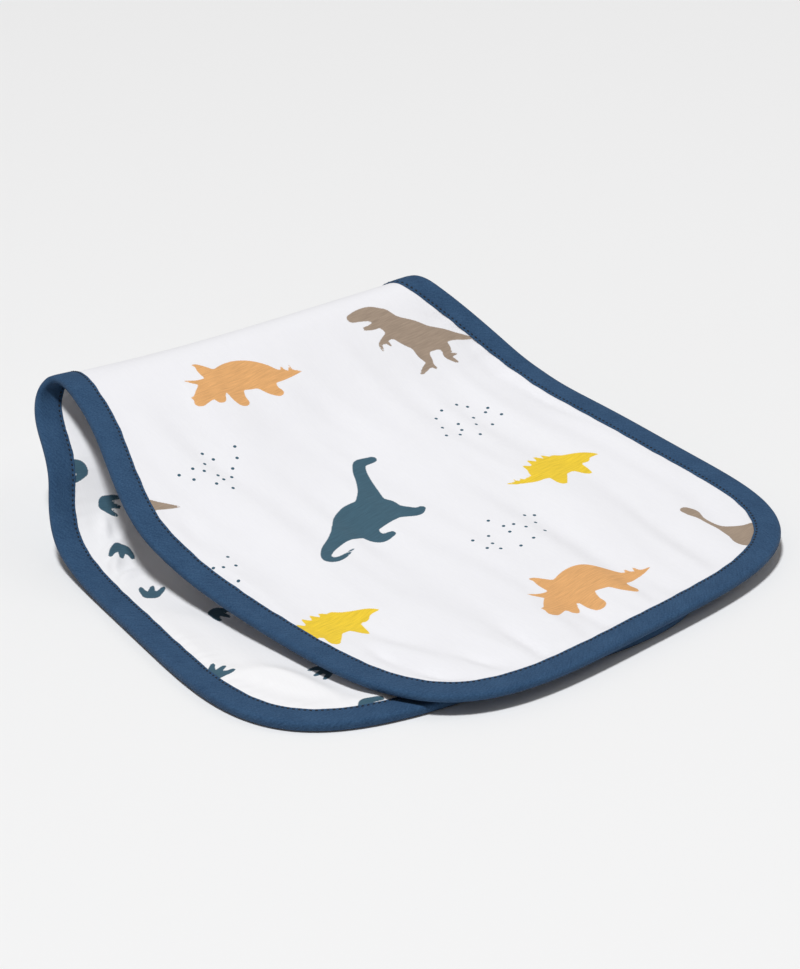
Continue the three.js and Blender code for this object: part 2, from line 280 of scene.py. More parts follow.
def face_relief(u, v):
    """The printed layer: the shared relief, and puckers where it isn't on the floor."""
    off_floor = 1 - smooth((-fold_s(u, v) - 140) / 30)
    return cloth_relief(u, v) + off_floor * gathers(u, v, GATHERS_FACE)


def lining_relief(u, v):
    """The lining: the shared relief, with humps that stand away from the printed layer."""
    low = smooth((-fold_s(u, v) - 40) / 40)
    inside = smooth((edge_distance(u, v) - BIND_WIDTH + 0.5) / 5)
    swell = np.sin(u * 0.075 + 1.2 * np.sin(v * 0.045)) * np.cos(v * 0.09 + 0.4)
    lift = inside * np.clip(mounds(u, v, HUMPS) + 0.35 * (1 + swell), 0, None)
    lift = lift + np.abs(gathers(u, v, GATHERS_LOW))
    return cloth_relief(u, v) - low * lift + (1 - low) * gathers(u, v, GATHERS_UNDER)


def on_fold(u, v, w, raised=relief):
    """Cloth to object, in millimetres: the ruled surface plus w and the relief along its
    normal, the cross product of its differences in s and t."""
    c, d = math.cos(FOLD_TURN), math.sin(FOLD_TURN)
    s, t = (u - FOLD_OFF) * c + v * d, -(u - FOLD_OFF) * d + v * c
    n = np.cross(ruled(s + 1, t) - ruled(s - 1, t), ruled(s, t + 1) - ruled(s, t - 1))
    n /= np.linalg.norm(n, axis=-1, keepdims=True)
    return ruled(s, t) + n * (w + raised(u, v))[..., None] - CENTRE


# ---- the outline, a from 0 at the near side of the waist to 4 all the way round --------
SIDE_END = 0.5


def outline(a):
    """Four mirrored quarters, each a side and half a lobe's end."""
    r = np.mod(a, 4.0)
    q = np.floor(r)
    f = np.where(q % 2 == 1, 1 - (r - q), r - q)
    side = LOBE_START * np.clip(f, 0, SIDE_END) / SIDE_END
    p = (np.clip(f, SIDE_END, 1) - SIDE_END) / (1 - SIDE_END) * np.pi / 2
    reach = (np.abs(np.cos(p)) ** LOBE_POWER + np.sin(p) ** LOBE_POWER) ** (-1 / LOBE_POWER)
    u = np.where(f <= SIDE_END, side, LOBE_START + LOBE_END * reach * np.sin(p))
    v = np.where(f <= SIDE_END, half_width(side), HALF_LOBE * reach * np.cos(p))
    return np.where(q < 2, u, -u), np.where((q == 0) | (q == 3), -v, v)


def inset(a, q):
    """The outline moved inwards by q along its normal."""
    u, v = outline(a)
    un, vn = outline(a + 0.004)
    um, vm = outline(a - 0.004)
    du, dv = un - um, vn - vm
    l = np.hypot(du, dv)
    return u - dv / l * q, v + du / l * q


def side_at(r):
    """The outline's a where the side or the lobe's end reaches r along the cloth."""
    x = np.abs(r)
    c = np.clip((x - LOBE_START) / LOBE_END, 0, 0.999) ** LOBE_POWER
    p = np.arctan((c / (1 - c)) ** (1 / LOBE_POWER)) / (np.pi / 2)
    a = np.where(x <= LOBE_START, SIDE_END * x / LOBE_START, SIDE_END + (1 - SIDE_END) * p)
    return np.where(r >= 0, a, -a)


CORNER_MID = LOBE_START + LOBE_END * 0.5 ** (1 / LOBE_POWER)
CORNER_A = float(side_at(np.array(CORNER_MID)))
LEAN_END, PULL_START = 130.0, 150.0     # where the grid's lines stop leaning, start to bow


def panel_grid(rows, columns):
    """Flat cloth points of a rows x columns grid inside the panel's cut edge: straight
    across along the fold's rulings, bowed to the rounded ends over the last part."""
    r = np.linspace(-CORNER_MID, CORNER_MID, rows)
    j = np.linspace(0, 1, columns)[None, :]
    upright = smooth((np.abs(r) - LEAN_END) / (CORNER_MID - LEAN_END))
    lean = math.tan(FOLD_TURN) * half_width(r) * (1 - upright)
    nu, nv = inset(side_at(r + lean), PANEL_INSET)
    fu, fv = inset(2 - side_at(r - lean), PANEL_INSET)
    u = nu[:, None] + (fu - nu)[:, None] * j
    v = nv[:, None] + (fv - nv)[:, None] * j
    for sign, last in ((1, -1), (-1, 0)):
        share = (np.clip((sign * r - PULL_START) / (CORNER_MID - PULL_START), 0, 1) ** 2)[:, None]
        a0, a1 = (CORNER_A, 2 - CORNER_A) if sign > 0 else (-CORNER_A, -2 + CORNER_A)
        eu, ev = inset(a0 + (a1 - a0) * j, PANEL_INSET)
        su, sv = nu[last] + (fu[last] - nu[last]) * j, nv[last] + (fv[last] - nv[last]) * j
        u, v = u + share * (eu - su), v + share * (ev - sv)
    return u, v


# ---- meshes -----------------------------------------------------------------------------
def write_mesh(name, points, faces, uv=None, smooth_shading=True):
    """Points in millimetres and an (n, 3) or (n, 4) array of corners become an object."""
    mesh = bpy.data.meshes.new(name)
    n, k = faces.shape
    mesh.vertices.add(len(points))
    mesh.vertices.foreach_set("co", (np.asarray(points, float) / 1000).ravel().astype(np.float32))
    mesh.loops.add(n * k)
    mesh.loops.foreach_set("vertex_index", faces.ravel().astype(np.int32))
    mesh.polygons.add(n)
    mesh.polygons.foreach_set("loop_start", np.arange(0, n * k, k, dtype=np.int32))
    mesh.update(calc_edges=True)
    mesh.validate()
    mesh.polygons.foreach_set("use_smooth", np.full(n, smooth_shading))
    if uv is not None:
        layer = mesh.uv_layers.new(name="flat")
        layer.data.foreach_set("uv", uv[faces.ravel()].astype(np.float32).ravel())
    obj = bpy.data.objects.new(name, mesh)
    bpy.context.scene.collection.objects.link(obj)
    return obj


UV_SPAN = 640.0                # millimetres of cloth that one unit of its UV map spans


def flat_uv(u, v):
    return np.stack([u / UV_SPAN + 0.5, v / UV_SPAN + 0.5], -1)


STEP = 2                       # the hidden side of a panel takes every second grid line


def cloth_sheet(name, rows, columns, w_shown, w_hidden, raised):
    """A panel as one closed sheet: a fine grid on the side that shows, every STEP-th line of
    it on the hidden side, and a rim of fans between them."""
    u, v = panel_grid(rows, columns)
    R, C = u.shape
    front = on_fold(u, v, np.full(u.shape, w_shown), raised).reshape(-1, 3)
    ub, vb = u[::STEP, ::STEP], v[::STEP, ::STEP]
    back = on_fold(ub, vb, np.full(ub.shape, w_hidden), raised).reshape(-1, 3)
    Rb, Cb = ub.shape
    first = R * C

    def quads(rr, cc, offset):
        i, j = np.meshgrid(np.arange(rr - 1), np.arange(cc - 1), indexing="ij")
        a = (i * cc + j).ravel() + offset
        b, c, d = a + cc, a + cc + 1, a + 1
        return np.concatenate([np.stack([a, b, c], 1), np.stack([a, c, d], 1)])

    def ring(rr, cc):
        return np.concatenate([np.arange(rr - 1) * cc, (rr - 1) * cc + np.arange(cc - 1),
                               np.arange(rr - 1, 0, -1) * cc + cc - 1, np.arange(cc - 1, 0, -1)])
    fine, coarse = ring(R, C), ring(Rb, Cb) + first
    p, q = fine, np.roll(fine, -1)
    b = coarse[np.arange(len(fine)) // STEP]
    fans = np.stack([p, b, q], 1)
    turn = np.arange(STEP - 1, len(fine), STEP)
    closing = np.stack([q[turn], coarse, np.roll(coarse, -1)], 1)
    faces = np.concatenate([quads(R, C, 0), quads(Rb, Cb, first)[:, ::-1], fans, closing])
    if w_shown < w_hidden:
        faces = faces[:, ::-1]
    flat = np.concatenate([flat_uv(u, v).reshape(-1, 2), flat_uv(ub, vb).reshape(-1, 2)])
    obj = write_mesh(name, np.concatenate([front, back]), faces, flat)
    return obj, np.concatenate([u.ravel(), ub.ravel()]), np.concatenate([v.ravel(), vb.ravel()])


# ---- the prints: each motif is a few tapered strokes, drawn in millimetres ------
# A motif's x runs along its back and y is up. A stroke is a curve through (x, y, half
# width); close strokes run into each other with a small fillet, BLEND.
BLEND = 0.9
HORNED = dict(ink="orange", strokes=[
    [(-10, 0, 8.0), (-1.5, 2, 10.2), (7, 0.4, 8.4), (14, -1.4, 5.2), (20, -1.4, 3.0),
     (29.4, 0.4, 0.4)],
    [(-13, 1, 5.2), (-17.4, 7.2, 3.2), (-20.0, 11.6, 1.2), (-22.2, 12.8, 0.3)],
    [(-11, -2, 7.6), (-18, -6.5, 6.0), (-23, -12, 4.4), (-25.2, -15.4, 3.0)],
    [(-16, -9, 4.4), (-15.2, -14.8, 2.6)],
    [(-18, -1.5, 3.0), (-23.5, -0.6, 1.5), (-28.6, 1.4, 0.3)],
    [(-25, -12.5, 1.8), (-29.0, -11.2, 0.3)],
    [(-6.5, -6, 5.0), (-6.0, -13, 3.9), (-4.6, -17, 3.3)],
    [(9, -4.5, 5.2), (11.5, -10.5, 3.2), (14.2, -13.2, 2.4)],
    [(20, 1, 1.3), (19.8, 5.2, 0.3)],
    [(24, 1.2, 1.1), (23.6, 4.9, 0.3)],
])
HUNTER = dict(ink="taupe", strokes=[
    [(-10, 13.5, 4.8), (-15.5, 15.8, 4.2), (-21.5, 15.4, 3.4), (-26, 14.2, 2.4)],
    [(-12, 11, 2.8), (-17, 8.6, 1.7), (-21.2, 7.8, 1.0)],
    [(-10, 13, 5.0), (-5.5, 7.6, 6.4), (2, 3, 8.0), (9, 0.2, 7.2), (15, 1.2, 4.8),
     (22, 1.2, 2.9), (33, -1, 0.4)],
    [(-8, 4.4, 2.4), (-13, 1.0, 1.5), (-15.8, -1.8, 1.0), (-15.4, -4.8, 0.6)],
    [(-13, 0.6, 1.1), (-10.8, -2.4, 0.6)],
    [(5, -1, 6.0), (4.6, -8, 3.4), (6.4, -12.8, 1.9), (2.6, -17, 1.4), (0.2, -19.4, 0.8)],
    [(6.2, -13.6, 1.4), (8.8, -16.4, 0.8)],
    [(12, -0.5, 5.0), (17.2, -5.6, 2.6), (16.4, -10, 1.6), (20.6, -13.4, 1.0)],
    [(16.8, -10, 1.3), (21.8, -9.0, 0.6)],
])
LONG_NECK = dict(ink="blue", strokes=[
    [(-14.5, -5.4, 7.6), (-4.5, -2.6, 11.2), (6.5, -4.2, 9.0)],
    [(3.5, -1, 8.4), (10, 8.5, 5.2), (14.4, 17, 3.6), (18, 24, 3.2), (22.4, 28.4, 2.9),
     (28.8, 27.4, 2.1)],
    [(-15, -5.6, 6.8), (-25, -8.6, 3.9), (-33.4, -12.6, 2.8), (-38.0, -17.6, 2.1),
     (-33.0, -20.6, 1.6), (-21.5, -17.6, 0.4)],
    [(-8, -8, 5.8), (-8.6, -15.4, 3.9), (-6.6, -19.4, 2.8), (-2.0, -20.2, 1.9)],
    [(8, -5.5, 5.8), (14.4, -11.8, 3.7), (18.0, -15.2, 2.9), (21.4, -14.6, 1.7)],
])
PLATED = dict(ink="yellow", strokes=[
    [(-7, -0.6, 6.0), (1, 1.4, 8.2), (9, 2.2, 6.2), (15, 2.6, 4.0), (20, 2.0, 2.2),
     (24.5, 0.4, 0.4)],
    [(-7, -2, 4.8), (-13, -4.6, 2.4), (-19, -3.4, 1.2), (-25.3, -1, 0.4)],
    [(-21.6, -2.6, 0.8), (-21.2, 0.6, 0.2)],
    [(-18.8, -3.4, 0.8), (-18.0, 0.2, 0.2)],
    [(-16.0, -4.0, 0.9), (-14.8, -0.6, 0.2)],
    [(-1.5, -5, 5.0), (-3.0, -11.2, 2.8), (-2.4, -13.6, 1.0)],
    [(10, -1.6, 4.2), (12.4, -7.8, 2.2), (13.6, -10.4, 0.7)],
])
PLATED["strokes"] += [           # a row of plates over the back
    [(x, 8.2 - 0.036 * (x - 2) ** 2, 2.5), (x - 2.3, 12.6 - 0.040 * (x - 2) ** 2, 0.4)]
    for x in (-9.5, -5.0, -0.5, 4.0, 8.5, 13.0, 17.0)]
GRAZER = dict(ink="taupe", strokes=[
    [(-3.6, 36.4, 2.2), (-2.8, 32.4, 2.9), (-3.0, 28.6, 1.7)],
    [(-3.0, 30, 1.4), (-3.8, 22, 1.1), (-3.4, 15, 1.6), (-1.6, 8, 4.6), (0.5, 1, 8.0)],
    [(0, 0, 8.6), (10, -4, 10.5), (20, -7, 8.0)],
])
FOOT = dict(ink="blue", strokes=[
    [(-1.0, -2.6, 2.7), (1.0, -2.6, 2.7)],
    [(-2.0, -2.2, 2.0), (-4.0, 0.8, 1.45), (-4.9, 3.6, 1.0)],
    [(0, -2.0, 1.7), (0, 1.6, 1.4), (0, 4.8, 0.9)],
    [(2.0, -2.2, 2.0), (4.0, 0.8, 1.45), (4.9, 3.6, 1.0)],
])
INKS = dict(orange=(0.72, 0.385, 0.155), yellow=(0.82, 0.575, 0.040),
            taupe=(0.340, 0.262, 0.200), blue=(0.050, 0.112, 0.158))
REPEAT = np.array([212.0, 28.0])           # the print's repeat along the cloth
FACE_PRINT = [
    dict(motif=HORNED, u=45, v=-17.5, turn=20, tall=0.84),
    dict(motif=HORNED, u=252, v=7.5, turn=19, tall=1.12),
    dict(motif=HUNTER, u=63, v=70.5, turn=20, tall=1.0),
    dict(motif=HUNTER, u=82.5, v=-124.5, turn=20, tall=1.0),
    dict(motif=GRAZER, u=274, v=86, turn=0, tall=1.0),
    dict(motif=LONG_NECK, u=143, v=-25.5, turn=0, tall=1.0),
    dict(motif=PLATED, u=172.5, v=63.5, turn=11, tall=1.0),
    dict(motif=PLATED, u=200, v=-97.5, turn=14, tall=1.0),
]
DOTS = [(85, -65), (118, 60), (197, 13), (138, -114)]
DOT_REACH, DOT_PITCH, DOT_RADIUS = 18.0, 7.6, 0.8
FOOT_APART = 27.0
DOT_GROUP_SHAPE = (1.25, 0.9, 0.0)         # a group is shorter along the cloth than across
LINING_PRINT = [
    dict(u=-68, v=-97.5, turn=-90), dict(u=-87, v=-87.5, turn=63),
    dict(u=-116, v=-94.5, turn=-27), dict(u=-151.5, v=-97.5, turn=150),
    dict(u=-182, v=-80, turn=26), dict(u=-228, v=-104.5, turn=123),
    dict(u=-249.5, v=-66.5, turn=-78),
]


def curved(stroke, steps=5):
    """A stroke's points joined by a Catmull-Rom curve."""
    p = np.array(stroke, float)
    p = np.concatenate([2 * p[:1] - p[1:2], p, 2 * p[-1:] - p[-2:-1]])
    t = np.arange(steps)[:, None] / steps
    spans = [0.5 * (2 * b + (c - a) * t + (2 * a - 5 * b + 4 * c - d) * t ** 2
                    + (3 * b - a - 3 * c + d) * t ** 3)
             for a, b, c, d in zip(p, p[1:], p[2:], p[3:])]
    return np.concatenate([*spans, p[-2:-1]])


def stroke_distance(x, y, stroke):
    """Signed distance to a chain of tapered round strokes, their union."""
    best = np.full(x.shape, 1e3)
    points = curved(stroke)
    for (x0, y0, r0), (x1, y1, r1) in zip(points[:-1], points[1:]):
        dx, dy = x1 - x0, y1 - y0
        t = np.clip(((x - x0) * dx + (y - y0) * dy) / max(dx * dx + dy * dy, 1e-9), 0, 1)
        best = np.minimum(best, np.hypot(x - x0 - t * dx, y - y0 - t * dy) - (r0 + (r1 - r0) * t))
    return best


def motif_distance(x, y, motif):
    """The strokes' union, with min(a, b) rounded over BLEND where two of them meet."""
    d = np.full(x.shape, 1e3)
    for stroke in motif["strokes"]:
        e = stroke_distance(x, y, stroke)
        h = np.clip(0.5 + 0.5 * (d - e) / BLEND, 0, 1)
        d = d * (1 - h) + e * h - BLEND * h * (1 - h)
    return d


def print_fields(u, v, places, reach=50.0):
    """Distance in millimetres to the nearest motif's edge, negative inside, and its ink."""
    near = np.full(u.shape, 20.0)
    ink = np.tile(np.array([*INKS["blue"], 1.0]), (len(u), 1))
    for p in places:
        at = np.flatnonzero((np.abs(u - p["u"]) < reach) & (np.abs(v - p["v"]) < reach))
        if not len(at):
            continue
        ca, sa = math.cos(math.radians(p["turn"])), math.sin(math.radians(p["turn"]))
        du, dv = u[at] - p["u"], v[at] - p["v"]
        x, y = dv * ca + du * sa, (-du * ca + dv * sa) / p["tall"]
        d = motif_distance(x, y, p["motif"])
        closer = d < near[at]
        near[at[closer]] = d[closer]
        ink[at[closer]] = (*INKS[p["motif"]["ink"]], 1.0)
    return near, ink


def repeated(places, dots):
    """The upper half's motifs, carried on by whole repeats over the rest of the cloth."""
    out, spots = [dict(p) for p in places], [np.array(d, float) for d in dots]
    for k in (-1, -2):
        for p in places:
            c = np.array([p["u"], p["v"]]) + k * REPEAT
            if all(np.hypot(*(c - (o["u"], o["v"]))) > 46 for o in out) and abs(c[0]) < 300:
                out.append(dict(p, u=c[0], v=c[1], tall=1.0))
        for d in dots:
            c = np.array(d, float) + k * REPEAT
            if all(np.hypot(*(c - o)) > 42 for o in spots) and abs(c[0]) < 290:
                spots.append(c)
    return out, spots


def footprints():
    """The feet that the photograph shows, then a loose half-drop pattern of more over the
    rest of the lining, none within FOOT_APART of another or in the part that shows."""
    feet = [dict(p, motif=FOOT, tall=1.0) for p in LINING_PRINT]
    for i in range(-8, 9):
        for j in range(-3, 4):
            u = i * 36.0 + 9 * math.sin(j * 2.1 + i)
            v = j * 33.0 + (16.5 if i % 2 else 0) + 6 * math.sin(i * 1.7 + j * 0.9) + 4
            apart = all(math.hypot(u - p["u"], v - p["v"]) > FOOT_APART for p in feet)
            shows = u < -60 and v < -72
            if abs(v) < 110 and apart and not shows:
                turn = 100 + 70 * math.sin(i * 3.1 + j * 1.3)
                feet.append(dict(motif=FOOT, u=u, v=v, turn=turn, tall=1.0))
    return feet


def add_print(obj, u, v, places):
    """Puts the print's distance and ink on the mesh as point attributes."""
    near, ink = print_fields(u, v, places)
    a = obj.data.attributes.new("print_mm", "FLOAT", "POINT")
    a.data.foreach_set("value", near.astype(np.float32))
    b = obj.data.attributes.new("ink", "FLOAT_COLOR", "POINT")
    b.data.foreach_set("color", ink.astype(np.float32).ravel())


# ---- materials ----------------------------------------------------------------------------
class Nodes:
    """A short way to lay out a node material."""

    def __init__(self, name):
        self.material = bpy.data.materials.new(name)
        self.material.use_nodes = True
        self.tree = self.material.node_tree
        self.shader = self.tree.nodes["Principled BSDF"]

    def add(self, kind, _settings=None, **inputs):
        node = self.tree.nodes.new(kind)
        for key, value in (_settings or {}).items():
            setattr(node, key, value)
        for key, value in inputs.items():
            self.put(node, key, value)
        return node

    def put(self, node, key, value):
        socket = node.inputs[int(key[1:])] if key[0] == "_" else node.inputs[key.replace("__", " ")]
        if isinstance(value, bpy.types.NodeSocket):
            self.tree.links.new(value, socket)
        elif isinstance(value, bpy.types.Node):
            self.tree.links.new(value.outputs[0], socket)
        else:
            socket.default_value = value

    def math(self, operation, a, b=0.0, c=0.0):
        return self.add("ShaderNodeMath", dict(operation=operation), _0=a, _1=b, _2=c).outputs[0]

    def vector(self, operation, **inputs):
        return self.add("ShaderNodeVectorMath", dict(operation=operation), **inputs)

    def shaded(self, colour, tone):
        """The colour times a grey tone."""
        grey = self.add("ShaderNodeCombineColor", None, Red=tone, Green=tone, Blue=tone)
        return self.mix(1.0, colour, grey.outputs[0], "MULTIPLY")

    def mix(self, factor, a, b, blend="MIX"):
        node = self.tree.nodes.new("ShaderNodeMix")
        node.data_type, node.blend_type = "RGBA", blend
        self.put(node, "_0", factor)
        for index, value in ((6, a), (7, b)):
            if isinstance(value, bpy.types.NodeSocket):
                self.tree.links.new(value, node.inputs[index])
            else:
                node.inputs[index].default_value = (*value, 1.0)
        return node.outputs[2]

    def cloth(self, colour, height, bump, roughness, specular, sheen):
        """The shader's own settings for a cloth; bump is (strength, metres)."""
        node = self.add("ShaderNodeBump", None, Strength=bump[0], Distance=bump[1], Height=height)
        self.put(self.shader, "Base__Color", colour)
        self.put(self.shader, "Normal", node.outputs[0])
        for key, value in (("Roughness", roughness), ("Specular IOR Level", specular),
                           ("Sheen Weight", sheen[0]), ("Sheen Roughness", sheen[1])):
            self.shader.inputs[key].default_value = value
        return self.material


def weave(m, mm, pitch):
    """Plain weave from the flat coordinates: sin(x) * sin(y) threads at the given pitch."""
    xyz = m.add("ShaderNodeSeparateXYZ", None, Vector=mm)
    k = 2 * math.pi / pitch
    a = m.math("SINE", m.math("MULTIPLY", xyz.outputs[0], k))
    b = m.math("SINE", m.math("MULTIPLY", xyz.outputs[1], k))
    return m.math("MULTIPLY", a, b)


def flat_mm(m):
    """The "flat" UV map in millimetres of cloth."""
    uv = m.add("ShaderNodeUVMap", dict(uv_map="flat"))
    return m.vector("SCALE", _0=uv.outputs[0], Scale=UV_SPAN).outputs[0]


def stretched_noise(m, mm, scale_uv, scale, detail=3.0):
    """Noise with scale features a millimetre, stretched where scale_uv is under 1."""
    pulled = m.vector("MULTIPLY", _0=mm, _1=(*scale_uv, 1.0)).outputs[0]
    return m.add("ShaderNodeTexNoise", dict(noise_dimensions="3D"), Vector=pulled, Scale=scale,
                 Detail=detail, Roughness=0.55).outputs[0]


INK_EDGE = 0.22                # millimetres over which ink fades in, to each side of its edge


def printed_cotton(name, base, dots=()):
    """Light plain-weave cotton. Ink lies where the print's distance is under 0, with a
    thready edge and fine streaks along the weft; dots are cells of a scattered pattern whose
    middle lies within DOT_REACH of one of the places given."""
    m = Nodes(name)
    mm = flat_mm(m)
    fine = stretched_noise(m, mm, (1, 1), 2.2, 2.0)
    slub = stretched_noise(m, mm, (0.10, 1.6), 1.0)
    slub2 = stretched_noise(m, mm, (1.5, 0.12), 1.0)
    broad = stretched_noise(m, mm, (1, 1), 0.03, 2.0)
    tone = m.math("MULTIPLY_ADD", slub, 0.055, 0.955)
    tone = m.math("MULTIPLY", tone, m.math("MULTIPLY_ADD", broad, 0.03, 0.985))
    ground = m.shaded(base, tone)
    d = m.add("ShaderNodeAttribute", dict(attribute_name="print_mm"))
    ink = m.add("ShaderNodeAttribute", dict(attribute_name="ink"))
    edge = m.math("ADD", d.outputs["Fac"], m.math("MULTIPLY_ADD", fine, 0.7, -0.35))
    mask = m.add("ShaderNodeMapRange", dict(interpolation_type="SMOOTHSTEP"), Value=edge,
                 _1=INK_EDGE, _2=-INK_EDGE, _3=0.0, _4=1.0).outputs[0]
    streak = m.math("MULTIPLY_ADD", slub2, 0.62, 0.70)
    streak = m.math("MULTIPLY", streak, m.math("MULTIPLY_ADD", fine, 0.22, 0.89))
    colour = m.mix(mask, ground, m.shaded(ink.outputs["Color"], streak))
    if len(dots):
        cells = m.add("ShaderNodeTexVoronoi", dict(voronoi_dimensions="2D", feature="F1"),
                      Vector=mm, Scale=1.0 / DOT_PITCH, Randomness=0.8)
        here = m.math("LESS_THAN", cells.outputs["Distance"], DOT_RADIUS / DOT_PITCH)
        middle = cells.outputs["Position"]
        inside = None
        for u, v in dots:
            place = (u + UV_SPAN / 2, v + UV_SPAN / 2, 0.0)
            off = m.vector("SUBTRACT", _0=middle, _1=place).outputs[0]
            squash = m.vector("MULTIPLY", _0=off, _1=DOT_GROUP_SHAPE).outputs[0]
            far = m.vector("LENGTH", _0=squash).outputs[1]
            near = m.math("LESS_THAN", far, DOT_REACH)
            inside = near if inside is None else m.math("MAXIMUM", inside, near)
        colour = m.mix(m.math("MULTIPLY", here, inside), colour, INKS["blue"])
    threads = m.math("MULTIPLY", weave(m, mm, 0.7), 0.35)
    uneven_yarn = m.math("MULTIPLY_ADD", fine, 1.0, m.math("ADD", slub, slub2))
    height = m.math("ADD", threads, uneven_yarn)
    return m.cloth(colour, height, bump=(0.35, 0.00012), roughness=0.92, specular=0.18,
                   sheen=(0.06, 0.6))


def binding_cotton():
    """Navy plain-weave strip: threads on the bias, slight fading in mottles."""
    m = Nodes("navy_binding_cotton")
    mm = flat_mm(m)
    turned = m.add("ShaderNodeVectorRotate", dict(rotation_type="Z_AXIS"), Vector=mm,
                   Angle=math.radians(45)).outputs[0]
    fine = stretched_noise(m, turned, (1, 1), 1.25, 3.0)
    slub = stretched_noise(m, turned, (0.16, 1.5), 1.0)
    broad = stretched_noise(m, mm, (1, 1), 0.09, 2.0)
    slow = m.math("MULTIPLY_ADD", slub, 0.3, m.math("MULTIPLY", broad, 0.2))
    shade = m.math("ADD", m.math("MULTIPLY", fine, 0.5), slow)
    f = m.add("ShaderNodeMapRange", None, Value=shade, _1=0.32, _2=0.68, _3=0.0, _4=1.0).outputs[0]
    colour = m.mix(f, (0.013, 0.044, 0.104), (0.046, 0.110, 0.214))
    height = m.math("ADD", weave(m, turned, 0.75), m.math("MULTIPLY_ADD", fine, 1.2, slub))
    return m.cloth(colour, height, bump=(0.5, 0.00016), roughness=0.88, specular=0.2,
                   sheen=(0.05, 0.5))


def thread():
    """Navy thread painted near-black, far darker than the binding, so that its colour is also
    painted shade of the needle holes it sits in; a little uneven in tone.
    """
    m = Nodes("navy_thread_and_painted_shade")
    at = m.add("ShaderNodeTexCoord")
    noise = m.add("ShaderNodeTexNoise", None, Vector=at.outputs["Object"], Scale=2500.0, Detail=2.0)
    # painted shade: these near-black colours stand for the navy thread and for the shade in its
    # needle holes together
    colour = m.mix(noise.outputs[0], (0.0015, 0.004, 0.011), (0.004, 0.010, 0.022))
    m.put(m.shader, "Base__Color", colour)
    m.shader.inputs["Roughness"].default_value = 0.7
    return m.material


# ---- binding and stitching ------------------------------------------------------------------
STITCH_PITCH = 2.4
STITCH_IN = 1.35                 # the stitching's line, in from the binding's inner edge


def round_lengths(count=8000):
    """Arc length against a, measured once along the outline's inner line."""
    a = np.linspace(0, 4, count + 1)
    u, v = inset(a, BIND_WIDTH - STITCH_IN)
    return a, np.concatenate([[0], np.cumsum(np.hypot(np.diff(u), np.diff(v)))])


def strip_face(u, v, side):
    """How far the strip's outer face lies from the cloth's middle: the printed side of the
    lower half reaches down to the floor, as its solid does."""
    on_floor = smooth((-fold_s(u, v) - 150) / 30) if side > 0 else 0 * u
    return STRIP_FACE + (BIND_OUT - STRIP_FACE) * on_floor


def uneven(x, total, waves):
    """A sum of whole waves round the outline, so that it closes on itself."""
    return sum(h * np.sin(2 * np.pi * n * x / total + p) for n, h, p in waves)


def binding(name):
    """A U section carried round the outline. Its legs puff between the outer bend and the
    stitching, which pulls them down; the inner edge wanders and scallops between stitches."""
    a_table, length = round_lengths()
    total = length[-1]
    stitches = int(round(total / STITCH_PITCH))
    per = 3
    n = stitches * per
    x = np.arange(n) * total / n
    a = np.interp(x, length, a_table)
    wander = uneven(x, total, ((41, 0.09, 0.3), (97, 0.08, 1.9), (151, 0.06, 4.0)))
    edge = BIND_WIDTH + wander + 0.06 * np.abs(np.sin(np.pi * x * stitches / total))
    puff = 0.14 + uneven(x, total, ((23, 0.04, 1.0), (61, 0.03, 2.7), (133, 0.02, 0.4)))
    pull = 0.5 + 0.5 * np.cos(2 * np.pi * x * stitches / total)
    bend_depth = 1.5
    legs = np.array([0.0, 0.3, 0.7, 1.15, 1.6, 2.3, 3.6, 5.4, 7.6, 9.4])   # from the inner edge

    def leg(face):
        """One face of the strip from its inner edge to the outer bend, as (q, w)."""
        out = []
        for d in legs:
            rounded = -0.40 * max(0.0, 1 - d / 0.6) ** 2
            dip = -0.42 * math.exp(-((d - STITCH_IN) / 0.62) ** 2) * (0.45 + 0.55 * pull)
            swell = puff * math.sin(math.pi * min(max((d - 1.4) / 10.0, 0), 1)) ** 0.7
            out.append((edge - d, face - 0.12 + rounded + dip + swell))
        for t in np.radians([70, 50, 30, 10]):
            out.append((bend_depth * (1 - math.cos(t)) + 0 * x, (face - 0.12) * math.sin(t)))
        return out
    outer = leg(STRIP_FACE)
    lower = [(q, -w) for q, w in leg(STRIP_FACE)[::-1]]
    outer = [(q, w * strip_face(*inset(a, BIND_WIDTH / 2), 1) / STRIP_FACE) for q, w in outer]
    slot_end, slot_mid, slot = np.full(n, bend_depth), np.full(n, 7.0), PANEL_FACE + 0.08
    inner = [(edge - 0.1, -slot), (slot_mid, -slot), (slot_end, -PANEL_FACE),
             (slot_end, PANEL_FACE), (slot_mid, slot), (edge - 0.1, slot)]
    section = outer + lower + inner
    section = [(q, w + 0 * x) for q, w in section]
    k = len(section)
    P = np.stack([on_fold(*inset(a, q), w) for q, w in section], 1).reshape(-1, 3)
    i, j = np.meshgrid(np.arange(n), np.arange(k), indexing="ij")
    a0 = (i * k + j).ravel()
    b0 = (i * k + (j + 1) % k).ravel()
    c0 = (((i + 1) % n) * k + (j + 1) % k).ravel()
    d0 = (((i + 1) % n) * k + j).ravel()
    faces = np.stack([a0, b0, c0, d0], 1)
    obj = write_mesh(name, P, faces)
    along = np.stack([i, i, i + 1, i + 1], -1).reshape(-1, 4) * total / n
    widths = [float(np.mean(np.hypot(q1 - q0, w1 - w0)))
              for (q0, w0), (q1, w1) in zip(section, section[1:] + section[:1])]
    steps = np.concatenate([[0], np.cumsum(widths)])
    cross = np.stack([steps[j], steps[j + 1], steps[j + 1], steps[j]], -1).reshape(-1, 4)
    flat = np.stack([along, cross], -1).reshape(-1, 2).astype(np.float32)
    layer = obj.data.uv_layers.new(name="flat")
    layer.data.foreach_set("uv", flat.ravel() / UV_SPAN)
    return obj


